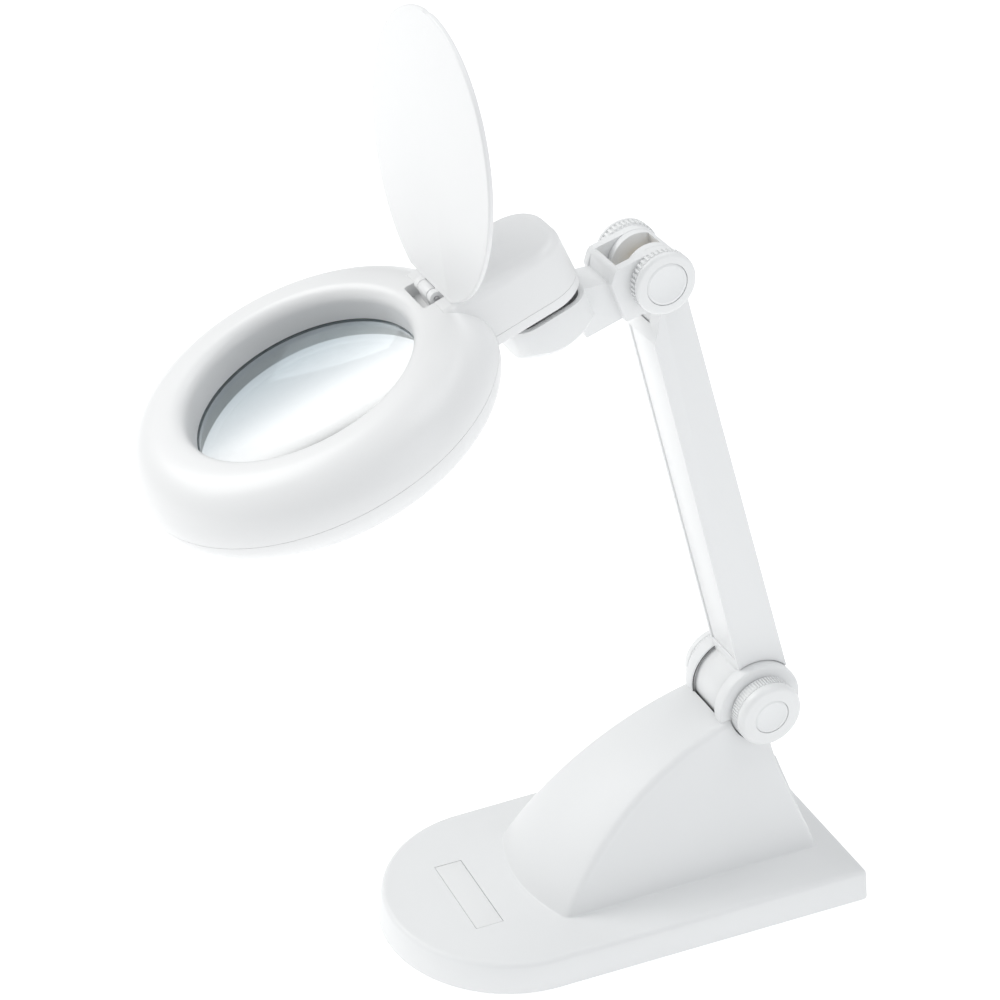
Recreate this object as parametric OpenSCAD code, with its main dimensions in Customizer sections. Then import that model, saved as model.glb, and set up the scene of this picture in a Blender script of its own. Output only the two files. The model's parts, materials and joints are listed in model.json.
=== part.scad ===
// Desk magnifying lamp: weighted base, two friction joints, ring light head and a dust lid.
// Millimetres. X across, front towards -Y, Z up, resting face on z = 0.

/* [Base] */
// Half width of the base at its rear edge
base_rear_half = 65.2; // [63:0.2:69]
// Half width of the base where the round front starts, also the radius of that front
base_front_r = 61; // [57:0.5:63]
// Length of the straight part of the base
base_straight = 163; // [155:0.5:180]
// Height of the base shell above the feet
base_h = 15.2; // [14:0.2:18]
// Lean of the base sides, degrees
base_draft = 9; // [4:1:12]
// Lean of the rear face of the base, degrees
rear_draft = 1; // [0:0.5:4]
// Shell thickness of the base
base_wall = 2.8; // [2:0.1:3.4]
// Depth of the rounding along the top edge, as a bevel
top_bevel = 1.6; // [0.5:0.1:2.5]
// Height of the rubber feet below the base
foot_h = 0.8; // [0.6:0.1:3]
// Radius of a rubber foot
foot_r = 7; // [5:0.5:9]
// Width of the blank name plate
plate_w = 50; // [36:1:60]
// Depth of the blank name plate
plate_d = 14; // [10:1:18]

/* [Pedestal] */
// Radius of the domed front of the pedestal
dome_r = 146.6; // [145:0.2:150]
// Half width of the pedestal at its foot
ped_foot_half = 34.7; // [32:0.1:40]
// How much each side leans in per millimetre of height
ped_taper = 0.222; // [0.2:0.002:0.235]
// Wall of the pedestal
ped_wall = 3; // [2.4:0.1:4]
// Height of the lower tilt axis above the table
lower_z = 95.2; // [92:0.2:99]
// Distance of the lower tilt axis behind the start of the straight part
lower_back = 124.2; // [122:0.2:126]
// Radius of the round ears of the pedestal
ear_r = 21.3; // [20.5:0.1:21.6]
// Gap between the two ears
ear_gap = 24; // [22:0.2:26]
// Thickness of an ear
ear_t = 6; // [5:0.1:8]

/* [Knobs] */
// Radius of the lower knobs
low_knob_r = 16.3; // [13:0.1:18]
// Length of the lower knobs
low_knob_l = 11; // [8:0.1:14]
// Radius of the upper knobs
up_knob_r = 14; // [11:0.1:15]
// Length of the upper knobs
up_knob_l = 7.1; // [6.5:0.1:10]
// Number of grip ribs around a knob
knob_ribs = 36; // [12:4:48]
// Gap between a knob and the face beside it
knob_gap = 0.3; // [0.2:0.1:1]

/* [Axles] */
// Radius of the lower axle
low_axle_r = 3; // [2.5:0.1:4]
// Radius of the upper axle
up_axle_r = 2.5; // [2:0.1:3]
// Running clearance around every shaft
shaft_clear = 0.06; // [0.03:0.01:0.1]

/* [Arm] */
// Distance between the two tilt axes
arm_len = 238.6; // [180:1:290]
// Forward lean of the arm as drawn, degrees
arm_lean = 14.47; // [0:0.5:30]
// Half width of the arm
arm_half = 13.4; // [13:0.1:15]
// Wall of the arm
arm_wall = 1.9; // [1.5:0.1:2.4]
// How far the front strip sits behind the edges of the arm
strip_recess = 0.6; // [0.2:0.1:1.2]
// Radius of the barrel at the foot of the arm
barrel_r = 19; // [17:0.1:19.2]
// Radius of the tongue at the top of the arm
tongue_r = 13; // [12.5:0.05:14]
// Width of the tongue at the top of the arm
tongue_w = 18.4; // [16:0.2:18.6]

/* [Neck] */
// Radius of the neck ears
neck_ear_r = 13; // [12.5:0.1:14.2]
// Gap between the neck ears
neck_gap = 18.8; // [18.7:0.1:20]
// Thickness of a neck ear
neck_ear_t = 4; // [3:0.1:5]
// Distance from the swivel axis to the upper tilt axis, along the head
neck_reach = 50.05; // [46:0.5:58]
// Downward tilt of the head as drawn, degrees
head_tilt = 22.68; // [0:0.5:35]
// Wall of the swivel cup
cup_wall = 2.5; // [2:0.1:3]

/* [Head] */
// Radius of the clear opening
opening_r = 50; // [42:0.5:56]
// Width of the ring from the opening to its rim
ring_w = 30; // [28:0.5:36]
// Distance from the lens centre to the swivel axis
swivel_e = 102.5; // [100:0.5:115]
// Wall of the head shells
head_wall = 2.2; // [1.8:0.1:2.6]
// Half width of the tail
tail_half = 22; // [20:0.5:25]
// Thickness of the lens edge
lens_edge = 3; // [2:0.1:4]
// Radius of each lens face
lens_face_r = 347; // [250:1:600]
// Number of light emitters
led_count = 36; // [12:1:48]

/* [Lid] */
// Radius of the lid
lid_r = 59.5; // [54:0.5:60.5]
// Thickness of the lid
lid_t = 2.4; // [1.8:0.1:3]
// Opening angle of the lid as drawn, degrees
lid_open = 112.3; // [0:0.5:112.3]
// Radius of the hinge pin
pin_r = 1.2; // [1:0.1:1.5]

/* [Hidden] */
$fn = 96;
eps = 0.01;
front_y = -1;
rear_y = front_y + base_straight;
base_top = foot_h + base_h;
lower_y = front_y + lower_back;
dome_y = lower_y + 21.8;
dome_z = lower_z - 145.6;
ear_in = ear_gap / 2;
ear_out = ear_in + ear_t;
spot_r = low_knob_r + 3.4;
rear_foot_y = lower_y + 25.8;
rear_lean = 20;
barrel_half = ear_in - 0.2;
washer_t = 1.1;
end_r_low = ear_r + 0.5;
end_r_up = neck_ear_r + 0.6;
neck_in = neck_gap / 2;
neck_out = neck_in + neck_ear_t;
tongue_half = tongue_w / 2;
slot_half = 5.5;
cup_rim_h = -18.7;
bowl_h = -43;
upper_h = -34.89;
upper_e = swivel_e + neck_reach;
crown_h = 11;
part_h = -11;
mid_h = -10;
ring_seat_h = -17.5;
tail_seat_h = -13.9;
tail_bot = -16;
tail_end = swivel_e + 18.5;
ring_r = opening_r + ring_w;
crown_r = ring_r - (crown_h - mid_h);
low_r = ring_r - 15.5;
ring_bot = mid_h - (ring_r - low_r);
window_r = opening_r + 16.5;
lens_r = opening_r + 1;
pocket_r = lens_r + 0.3;
lens_top = -4;
lens_mid = lens_top - 0.2 - lens_edge / 2;
hinge_e = opening_r + 14;
hinge_h = 10.5;
lid_h = 12.5;
lid_c = hinge_e + 0.8 - lid_r;
flap_w = 31;

// name order follows the build from the table upwards

function ped_half(z) = z < 25 ? ped_foot_half : ped_foot_half - ped_taper * (z - 25);

module across(r, half, fn = 96) rotate([0, 90, 0]) cylinder(h = 2 * half, r = r, center = true, $fn = fn);
module across_from(r, x0, x1) rotate([0, 90, 0]) translate([0, 0, x0]) cylinder(h = x1 - x0, r = r);
module pair() {
  children();
  mirror([1, 0, 0]) children();
}
// draws a (y, z) outline and gives it a width along X
module side_slab(x0, x1) rotate([90, 0, 90]) translate([0, 0, x0]) linear_extrude(x1 - x0) children();

module at_lower() translate([0, lower_y, lower_z]) children();
module in_arm() at_lower() rotate([arm_lean, 0, 0]) children();
module at_upper() in_arm() translate([0, 0, arm_len]) rotate([-arm_lean, 0, 0]) children();
// head frame: origin on the lens centre, Y towards the tail, Z square to the ring
module in_head() at_upper() rotate([head_tilt, 0, 0]) translate([0, -upper_e, -upper_h]) children();
module in_lid() in_head() translate([0, hinge_e, hinge_h]) rotate([-lid_open, 0, 0])
  translate([0, -hinge_e, -hinge_h]) children();
module on_rear() translate([0, rear_foot_y, base_top]) rotate([rear_lean, 0, 0]) children();

// ---------- base ----------
module base_plan(inset) {
  translate([0, front_y]) circle(r = base_front_r - inset);
  polygon([
    [-(base_front_r - inset), front_y], [base_front_r - inset, front_y],
    [base_rear_half - inset, rear_y - inset], [-(base_rear_half - inset), rear_y - inset]
  ]);
}
// everything outside the leaning side and rear faces
module draft_cut() {
  plan_turn = atan((base_rear_half - base_front_r) / base_straight);
  pair() translate([base_front_r, front_y, foot_h]) rotate([0, 0, -plan_turn])
    rotate([0, -base_draft, 0]) translate([0, -90, -5]) cube([40, 320, 40]);
  translate([-100, rear_y, foot_h]) rotate([rear_draft, 0, 0]) translate([0, 0, -5]) cube([200, 40, 40]);
  // bevel of the top edge
  lean_in = base_h * tan(base_draft);
  pair() translate([base_front_r - lean_in, front_y, base_top]) rotate([0, 0, -plan_turn])
    rotate([0, -45, 0]) translate([-top_bevel * 0.7, -90, -30]) cube([40, 320, 60]);
  translate([-100, rear_y - base_h * tan(rear_draft), base_top]) rotate([45, 0, 0])
    translate([0, -top_bevel * 0.7, -30]) cube([200, 40, 60]);
}
module base_block() {
  lean_in = base_h * tan(base_draft);
  intersection() {
    translate([0, front_y, foot_h]) union() {
      cylinder(h = base_h - top_bevel, r1 = base_front_r, r2 = base_front_r - lean_in * (1 - top_bevel / base_h));
      translate([0, 0, base_h - top_bevel])
        cylinder(h = top_bevel, r1 = base_front_r - lean_in * (1 - top_bevel / base_h),
                 r2 = base_front_r - lean_in - top_bevel * 0.8);
    }
    translate([-100, front_y - 100, 0]) cube([200, 100, 40]);
  }
  difference() {
    translate([0, 0, foot_h]) linear_extrude(base_h) polygon([
      [-base_front_r, front_y], [base_front_r, front_y],
      [base_rear_half, rear_y], [-base_rear_half, rear_y]
    ]);
    draft_cut();
  }
}
module ped_sides(grow) rotate([90, 0, 0]) translate([0, 0, -220]) linear_extrude(240) polygon([
  [-(ped_foot_half - grow), 0], [-(ped_foot_half - grow), 25], [-(ped_half(130) - grow), 130],
  [ped_half(130) - grow, 130], [ped_foot_half - grow, 25], [ped_foot_half - grow, 0]
]);
module ped_front(grow) translate([0, dome_y, dome_z]) across(dome_r - grow, 60, 180);
module ped_behind(depth) on_rear() translate([-60, -depth, -30]) cube([120, 100, 160]);
module rear_window(inset, depth, x_out) on_rear() translate([0, x_out, 0]) rotate([90, 0, 0])
  linear_extrude(depth + x_out) polygon([
    [-(ped_half(24) - inset), 7 + inset], [ped_half(24) - inset, 7 + inset],
    [ped_half(67) - inset, 56 - inset], [-(ped_half(67) - inset), 56 - inset]
  ]);
screw_spots = [[54, 120], [-54, 120], [44, -14], [-44, -14]];
foot_spots = [[50, 147], [-50, 147], [36, -34], [-36, -34]];
module base_shell() color("white") difference() {
  union() {
    difference() {
      union() {
        base_block();
        intersection() {
          ped_front(0);
          ped_sides(0);
          translate([-60, -60, base_top - 1]) cube([120, 240, 120]);
          difference() {
            translate([-60, -60, 0]) cube([120, 240, 140]);
            ped_behind(0);
          }
        }
        at_lower() pair() across_from(ear_r, ear_in, ear_out);
      }
      // inside of the base
      difference() {
        translate([0, 0, foot_h - eps]) linear_extrude(base_h - base_wall) base_plan(base_wall + 2);
        for (s = screw_spots) translate([s[0], s[1], foot_h + 2.3]) cylinder(h = base_h, r = 4);
      }
      translate([0, 0, foot_h - 1]) linear_extrude(3.3) base_plan(base_wall);
      // inside of the pedestal
      intersection() {
        ped_front(ped_wall);
        ped_sides(ped_wall);
        translate([-60, -60, foot_h + 4]) cube([120, 240, 64]);
        difference() {
          translate([-60, -60, 0]) cube([120, 240, 140]);
          ped_behind(2.6 + ped_wall);
        }
      }
      // slot for the barrel
      at_lower() across(barrel_r + 0.5, ear_in);
      // flat seats for the knobs
      at_lower() pair() across_from(spot_r, ear_out, ear_out + 30);
      // opening and seat of the rear cover
      rear_window(2.2, 2.6, 5);
      rear_window(5.5, 12, 5);
      // name plate seat
      translate([-plate_w / 2, -20 - plate_d / 2, base_top - 0.8]) cube([plate_w, plate_d, 2]);
    }
  }
  at_lower() across(low_axle_r + shaft_clear, 40);
  for (s = screw_spots) translate([s[0], s[1], 0]) cylinder(h = 12, r = 1.3);
  translate([0, rear_y - 12, foot_h + 7.2]) rotate([-90, 0, 0]) cylinder(h = 30, r = 4.2);
}
module base_bottom_plate() color("dimgray") difference() {
  translate([0, 0, foot_h + 0.3]) linear_extrude(1.95) base_plan(base_wall + 0.25);
  for (s = foot_spots) translate([s[0], s[1], foot_h - 1]) cylinder(h = 2.1, r = foot_r + 0.1);
  for (s = screw_spots) translate([s[0], s[1], 0]) cylinder(h = 8, r = 1.7);
  for (s = screw_spots) translate([s[0], s[1], foot_h - 1]) cylinder(h = 2.3, r = 3.2);
}
module ballast_weight() color("slategray")
  translate([-44, 36, foot_h + 2.3]) cube([88, 110, 6.6]);
module base_feet() color("black")
  for (s = foot_spots) translate([s[0], s[1], 0]) cylinder(h = foot_h + 1.1, r = foot_r);
module base_screws() color("silver") for (s = screw_spots) translate([s[0], s[1], foot_h + 0.5]) {
  difference() {
    cylinder(h = 0.8, r = 3);
    translate([-2, -0.4, -1]) cube([4, 0.8, 1.4]);
    translate([-0.4, -2, -1]) cube([0.8, 4, 1.4]);
  }
  cylinder(h = 8, r = 1.3);
}
module name_plate() color("gainsboro")
  translate([-plate_w / 2 + 0.3, -20 - plate_d / 2 + 0.3, base_top - 0.8])
    cube([plate_w - 0.6, plate_d - 0.6, 0.8]);
sw_z = 43;
rocker_tilt = 5;
module pedestal_rear_cover() color("whitesmoke") difference() {
  rear_window(2.5, 2.6, 0);
  on_rear() translate([-9.6, -6, sw_z - 6.6]) cube([19.2, 12, 13.2]);
  for (z = [14, 28]) on_rear() translate([0, -6, z]) rotate([-90, 0, 0]) cylinder(h = 12, r = 1.5);
  for (z = [14, 28]) on_rear() translate([0, -1.4, z]) rotate([-90, 0, 0]) cylinder(h = 3, r = 2.9);
}
module rear_cover_screws() color("silver") for (z = [14, 28]) on_rear() translate([0, -1.4, z])
  rotate([-90, 0, 0]) {
    difference() {
      cylinder(h = 1.2, r = 2.6);
      translate([-1.8, -0.35, 0.6]) cube([3.6, 0.7, 1]);
      translate([-0.35, -1.8, 0.6]) cube([0.7, 3.6, 1]);
    }
    translate([0, 0, -6]) cylinder(h = 6.5, r = 1.4);
  }
module dc_inlet() color("black") translate([0, rear_y, foot_h + 7.2]) rotate([-90, 0, 0]) difference() {
  union() {
    translate([0, 0, -6]) cylinder(h = 5.2, r = 4.1);
    translate([-4.5, -4, -14]) cube([9, 8, 8]);
  }
  translate([0, 0, -10]) cylinder(h = 12, r = 2.8);
}
module at_rocker() on_rear() translate([0, -0.4, sw_z]) children();
module switch_housing() color("black") difference() {
  on_rear() translate([0, 0, sw_z]) difference() {
    union() {
      translate([-10.8, 0, -7.8]) cube([21.6, 1.4, 15.6]);
      translate([-9.4, -12, -6.4]) cube([18.8, 12.4, 12.8]);
    }
    translate([-7.8, -6, -4.8]) cube([15.6, 10, 9.6]);
  }
  at_rocker() across(1.2 + shaft_clear, 8.9);
}
module switch_rocker() color("black") at_rocker() rotate([-rocker_tilt, 0, 0]) {
  translate([-7.3, 0, 0]) rotate([90, 0, 90]) linear_extrude(14.6) polygon([
    [-3, -3.6], [1.8, -4.2], [3, -4.2], [2.3, 0], [3, 4.2], [1.8, 4.2], [-3, 3.6]
  ]);
  across(1.2, 8.7);
}
module lower_axle() color("silver") at_lower() across(low_axle_r, ear_out + knob_gap + low_deep - 0.3);

// ---------- knobs ----------
low_deep = low_knob_l - 2.6;
up_deep = up_knob_l - 2.6;
// drawn from x = 0 outwards; r radius, l length, cr cap radius, ar axle radius, deep insert depth
module knob_body(r, l, cr, ar, deep) rotate([0, 90, 0]) difference() {
  union() {
    cylinder(h = l * 0.62, r = r - 0.7);
    translate([0, 0, l * 0.62]) cylinder(h = l * 0.18, r1 = r - 0.7, r2 = r - 0.5);
    translate([0, 0, l * 0.8]) cylinder(h = l * 0.2, r1 = r - 0.5, r2 = r - 0.5 - l * 0.2);
    for (i = [0 : knob_ribs - 1]) rotate([0, 0, i * 360 / knob_ribs])
      translate([r - 1.6, -0.55, 0.8]) cube([1.6, 1.1, l * 0.56]);
  }
  translate([0, 0, l - 1.4]) cylinder(h = 5, r = cr + 0.15);
  translate([0, 0, -1]) cylinder(h = deep + 1, r = ar + 3);
  translate([0, 0, -1]) cylinder(h = l, r = ar + 0.4);
}
module knob_cap(l, cr) rotate([0, 90, 0]) translate([0, 0, l - 1.4]) {
  cylinder(h = 1.0, r = cr);
  translate([0, 0, 1]) cylinder(h = 0.4, r1 = cr, r2 = cr - 1.2);
}
module knob_insert(ar, deep) rotate([0, 90, 0]) difference() {
  cylinder(h = deep, r = ar + 3);
  translate([0, 0, -1]) cylinder(h = deep + 2, r = ar + shaft_clear);
}
module low_spot(side) at_lower() mirror([side < 0 ? 1 : 0, 0, 0])
  translate([ear_out + knob_gap, 0, 0]) children();
module up_spot(side) at_upper() mirror([side < 0 ? 1 : 0, 0, 0])
  translate([neck_out + knob_gap, 0, 0]) children();
module lower_knob_right() color("white") low_spot(1) knob_body(low_knob_r, low_knob_l, 8.7, low_axle_r, low_deep);
module lower_knob_right_cap() color("lightgray") low_spot(1) knob_cap(low_knob_l, 8.7);
module lower_knob_right_insert() color("gold") low_spot(1) knob_insert(low_axle_r, low_deep);
module lower_knob_left() color("white") low_spot(-1) knob_body(low_knob_r, low_knob_l, 8.7, low_axle_r, low_deep);
module lower_knob_left_cap() color("lightgray") low_spot(-1) knob_cap(low_knob_l, 8.7);
module lower_knob_left_insert() color("gold") low_spot(-1) knob_insert(low_axle_r, low_deep);
module upper_knob_right() color("white") up_spot(1) knob_body(up_knob_r, up_knob_l, 9.4, up_axle_r, up_deep);
module upper_knob_right_cap() color("lightgray") up_spot(1) knob_cap(up_knob_l, 9.4);
module upper_knob_right_insert() color("gold") up_spot(1) knob_insert(up_axle_r, up_deep);
module upper_knob_left() color("white") up_spot(-1) knob_body(up_knob_r, up_knob_l, 9.4, up_axle_r, up_deep);
module upper_knob_left_cap() color("lightgray") up_spot(-1) knob_cap(up_knob_l, 9.4);
module upper_knob_left_insert() color("gold") up_spot(-1) knob_insert(up_axle_r, up_deep);

// ---------- arm, drawn with Y rearwards and Z along the arm ----------
module arm_side(inset_f, inset_r) polygon([
  [-4.3 + inset_f, 0], [-9.4 + inset_f, arm_len], [10 - inset_r, arm_len], [19.6 - inset_r, 0]
]);
// everything in front of the sloping end of the arm front
module flap_cut() polygon([
  [-40, arm_len - flap_w], [-9.2, arm_len - flap_w], [-6.6, arm_len - 26],
  [-2.2, arm_len - end_r_up], [-2, arm_len + 40], [-40, arm_len + 40]
]);
module arm_channel() color("white") in_arm() difference() {
  union() {
    // full width body between the two rounded ends
    difference() {
      side_slab(-arm_half, arm_half) difference() {
        arm_side(0, 0);
        flap_cut();
      }
      across(end_r_low, 40);
      translate([0, 0, arm_len]) across(end_r_up, 40);
    }
    // foot and barrel
    side_slab(-barrel_half, barrel_half) difference() {
      arm_side(0, 0);
      translate([-60, end_r_low + 4]) square([120, 400]);
      translate([-60, -60]) square([120, 60]);
    }
    across(barrel_r, barrel_half);
    // tongue
    side_slab(-tongue_half, tongue_half) difference() {
      arm_side(0, 0);
      flap_cut();
      translate([-60, -10]) square([120, arm_len - 20]);
    }
    translate([0, 0, arm_len]) across(tongue_r, tongue_half);
  }
  // beyond the tongue centre only the round end is left
  translate([0, 0, arm_len]) difference() {
    translate([-40, -40, 0]) cube([80, 80, 40]);
    across(tongue_r, 60);
  }
  // inside of the channel, open to the front
  side_slab(-(arm_half - arm_wall), arm_half - arm_wall) difference() {
    arm_side(-5, arm_wall);
    translate([-60, -20]) square([120, end_r_low + 24]);
    translate([-60, arm_len - flap_w]) square([120, 80]);
  }
  // wire passage between barrel, channel and tongue
  translate([0, 7, barrel_r - 5]) cylinder(h = 20, r = 2.6);
  // slot of the tongue, open to the front and top
  side_slab(-slot_half, slot_half) difference() {
    translate([-40, arm_len - flap_w + 3]) square([47, 80]);
    translate([-40, arm_len - flap_w]) square([40 - 5.8, 9]);
  }
  translate([0, 2, arm_len - flap_w - 10]) cylinder(h = 20, r = 2.6);
  across(low_axle_r + 2.05, 40);
  pair() across_from(14.2, barrel_half - 1, 40);
  translate([0, 0, arm_len]) across(up_axle_r + shaft_clear, 40);
  translate([0, 0, arm_len]) pair() across_from(9.2, tongue_half - 0.9, 40);
}
module arm_front_strip() color("white") in_arm()
  side_slab(-(arm_half - arm_wall - 0.15), arm_half - arm_wall - 0.15) difference() {
    arm_side(strip_recess, 0);
    polygon([
      [-4.3 + strip_recess + 2, 0], [-9.4 + strip_recess + 2, arm_len], [60, arm_len], [60, 0]
    ]);
    translate([-60, -20]) square([120, end_r_low + 24.2]);
    translate([-60, arm_len - flap_w - 0.2]) square([120, 80]);
  }
module lower_bushes() color("gold") in_arm() pair() rotate([0, 90, 0]) difference() {
  translate([0, 0, 1]) cylinder(h = barrel_half - 2, r = low_axle_r + 2.05);
  cylinder(h = 30, r = low_axle_r + shaft_clear);
}
module lower_friction_washers() color("dimgray") in_arm() pair() rotate([0, 90, 0]) difference() {
  translate([0, 0, barrel_half - 1]) cylinder(h = washer_t, r = 14);
  cylinder(h = 30, r = low_axle_r + shaft_clear);
}
module tongue_spacer() color("gold") in_arm() translate([0, 0, arm_len]) difference() {
  across(4.6, slot_half);
  across(up_axle_r + shaft_clear, 20);
}
module upper_friction_washers() color("dimgray") in_arm() translate([0, 0, arm_len]) pair()
  rotate([0, 90, 0]) difference() {
    translate([0, 0, tongue_half - 0.9]) cylinder(h = 1.05, r = 9);
    cylinder(h = 30, r = up_axle_r + shaft_clear);
  }
module arm_lead() color("black") in_arm() translate([0, 3, 0]) {
  translate([0, 0, barrel_r + 8]) cylinder(h = arm_len - barrel_r - 8 - flap_w - 2, r = 1.6);
}

// ---------- neck, drawn in the head frame ----------
module cup_plan(inset) {
  translate([-(21.6 - inset), swivel_e - 18.4 + 10]) square([2 * (21.6 - inset), 36.8 - 20]);
  translate([-(21.6 - 10), swivel_e - 18.4 + inset]) square([2 * (21.6 - 10), 36.8 - 2 * inset]);
  for (x = [-11.6, 11.6], y = [-8.4, 8.4]) translate([x, swivel_e + y]) circle(r = 10 - inset);
}
module bowl(inset) intersection() {
  translate([0, 0, bowl_h - 5]) linear_extrude(cup_rim_h - bowl_h + 5) cup_plan(inset);
  translate([0, swivel_e, bowl_h + 30]) sphere(r = 30 - inset, $fn = 128);
}
// the (y, z) outline that joins cup and ears, measured from the upper axis
module neck_side() translate([upper_e, upper_h]) polygon([
  [-17, 8.6], [-14.8, 14.3], [0, neck_ear_r], [0, -neck_ear_r], [-20.5, -10.4], [-20.5, 9], [-17.2, 13.2]
]);
module neck_web() translate([upper_e, upper_h]) polygon([
  [-20.2, 8], [-17.2, 13.2], [-15.2, 14.4], [-13.9, 13.4], [-15.2, 8], [-15.2, -9.6], [-20.5, -10.4]
]);
module neck_bracket() color("white") in_head() difference() {
  union() {
    difference() {
      bowl(0);
      translate([0, 0, eps]) bowl(cup_wall);
    }
    intersection() {
      translate([0, swivel_e, bowl_h]) cylinder(h = cup_rim_h - bowl_h - 0.2, r = 8);
      bowl(0);
    }
    side_slab(-9.6, 9.6) polygon([
      [swivel_e + 16.2, -21.2], [upper_e - 19.8, -26.3], [upper_e - 17, -30], [upper_e - 17, -45.1],
      [upper_e - 20.5, -45.3], [swivel_e + 12, -44.4], [swivel_e + 12, -38.4], [swivel_e + 16.2, -33]
    ]);
    side_slab(-neck_out, neck_out) neck_web();
    pair() side_slab(neck_in, neck_out) neck_side();
    translate([0, upper_e, upper_h]) pair() across_from(neck_ear_r, neck_in, neck_out);
  }
  translate([0, upper_e, upper_h]) across(up_axle_r + shaft_clear, 40);
  translate([0, swivel_e, bowl_h + 6]) cylinder(h = 60, r = 3);
}
module upper_axle() color("silver") at_upper() across(up_axle_r, neck_out + knob_gap + up_deep - 0.3);
module swivel_spindle() color("silver") in_head() translate([0, swivel_e, bowl_h + 6])
  cylinder(h = 44.5, r = 3);
module swivel_washer() color("ivory") in_head() translate([0, swivel_e, cup_rim_h - 0.2]) difference() {
  cylinder(h = 2.65, r = 7.5);
  translate([0, 0, -1]) cylinder(h = 6, r = 3.02);
}
module swivel_nut() color("silver") in_head() translate([0, swivel_e, tail_bot + 2.5]) difference() {
  union() {
    cylinder(h = 1, r = 7.5);
    translate([0, 0, 1]) cylinder(h = 5, r = 5.8, $fn = 6);
  }
  translate([0, 0, -1]) cylinder(h = 12, r = 3);
}

// ---------- head ----------
// ring section above the parting line, outline moved in by t
module ring_top_2d(t) {
  intersection() {
    translate([crown_r, mid_h]) circle(r = crown_h - mid_h - t);
    translate([crown_r, mid_h]) square([40, 40]);
  }
  intersection() {
    translate([crown_r, 2]) circle(r = crown_h - 2 - t);
    translate([opening_r, 2]) square([crown_r - opening_r, 20]);
  }
  translate([opening_r + t, mid_h]) square([crown_r - opening_r - t, 2 - mid_h]);
  translate([opening_r + t, part_h]) square([ring_w - 2 * t, mid_h - part_h]);
}
// ring section below the parting line
module ring_bottom_2d(t) {
  intersection() {
    translate([low_r, mid_h]) circle(r = ring_r - low_r - t);
    translate([window_r, -40]) square([40, 40 + part_h - 0.15 + min(t, 0.8)]);
  }
}
module tail_plan(inset, from) {
  translate([-(tail_half - inset), from]) square([2 * (tail_half - inset), tail_end - from - 12]);
  translate([-(tail_half - 12), from]) square([2 * (tail_half - 12), tail_end - from - inset]);
  for (s = [-1, 1]) translate([s * (tail_half - 12), tail_end - 12]) circle(r = 12 - inset);
}
module tail_block(inset, from, h0, h1) translate([0, 0, h0]) linear_extrude(h1 - h0) tail_plan(inset, from);
ring_screws = [[0, -(opening_r + 22.5)], [opening_r + 22.5, 0], [-(opening_r + 22.5), 0]];
tail_screws = [[14, swivel_e + 8], [-14, swivel_e + 8]];
module hinge_pocket() translate([-10.5, hinge_e - 7, 5]) cube([21, 12, 20]);
module head_top_shell() color("white") in_head() difference() {
  union() {
    difference() {
      union() {
        rotate_extrude() ring_top_2d(0);
        tail_block(0, opening_r + 10, part_h, crown_h - 0.3);
      }
      rotate_extrude() intersection() {
        ring_top_2d(head_wall);
        translate([pocket_r + head_wall, -40]) square([60, 80]);
      }
      translate([0, 0, part_h - 4]) rotate_extrude()
        translate([pocket_r + head_wall, 0]) square([ring_w - 4.3 - head_wall, 4.5]);
      tail_block(head_wall, opening_r + 12, part_h - 2, crown_h - 0.3 - head_wall);
    }
    for (s = ring_screws) translate([s[0], s[1], part_h]) cylinder(h = 14, r = 2.6);
    for (s = tail_screws) translate([s[0], s[1], part_h]) cylinder(h = 20.5, r = 3);
    translate([-12.5, hinge_e - 9, 2.8]) cube([25, 16.5, 6.2]);
  }
  hinge_pocket();
  translate([0, 0, -40]) cylinder(h = 40 + lens_top, r = pocket_r);
  for (s = ring_screws) translate([s[0], s[1], -20]) cylinder(h = 19, r = 1.2);
  for (s = tail_screws) translate([s[0], s[1], -20]) cylinder(h = 20, r = 1.2);
}
module head_bottom_shell() color("white") in_head() difference() {
  union() {
    difference() {
      union() {
        rotate_extrude() ring_bottom_2d(0);
        tail_block(0, window_r + 4, tail_bot, part_h - 0.15);
      }
      rotate_extrude() ring_bottom_2d(head_wall);
      tail_block(head_wall, opening_r + 12, tail_bot + head_wall, part_h + 4);
    }
    for (s = ring_screws) translate([s[0], s[1], -19.5]) cylinder(h = 19.5 + part_h - 0.2, r = 3.4);
    for (s = tail_screws) translate([s[0], s[1], -15]) cylinder(h = 15 + part_h - 0.2, r = 3.4);
  }
  translate([0, swivel_e, -40]) cylinder(h = 60, r = 3 + shaft_clear);
  for (s = concat(ring_screws, tail_screws)) translate([s[0], s[1], -40]) cylinder(h = 60, r = 1.5);
  for (s = ring_screws) translate([s[0], s[1], -40]) cylinder(h = 40 + ring_seat_h, r = 2.6);
  for (s = tail_screws) translate([s[0], s[1], -40]) cylinder(h = 40 + tail_seat_h, r = 2.6);
}
module lens() color("azure", 0.4) in_head() translate([0, 0, lens_mid]) intersection() {
  bulge = sqrt(lens_face_r * lens_face_r - lens_r * lens_r) - lens_edge / 2;
  translate([0, 0, -bulge]) sphere(r = lens_face_r, $fn = 360);
  translate([0, 0, bulge]) sphere(r = lens_face_r, $fn = 360);
  cylinder(h = 40, r = lens_r, center = true);
}
module lens_retaining_ring() color("whitesmoke") in_head() translate([0, 0, -12.4]) difference() {
  cylinder(h = 12.1 + lens_mid - lens_edge / 2, r = pocket_r - 0.1);
  translate([0, 0, -1]) cylinder(h = 20, r = opening_r - 0.6);
}
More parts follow.
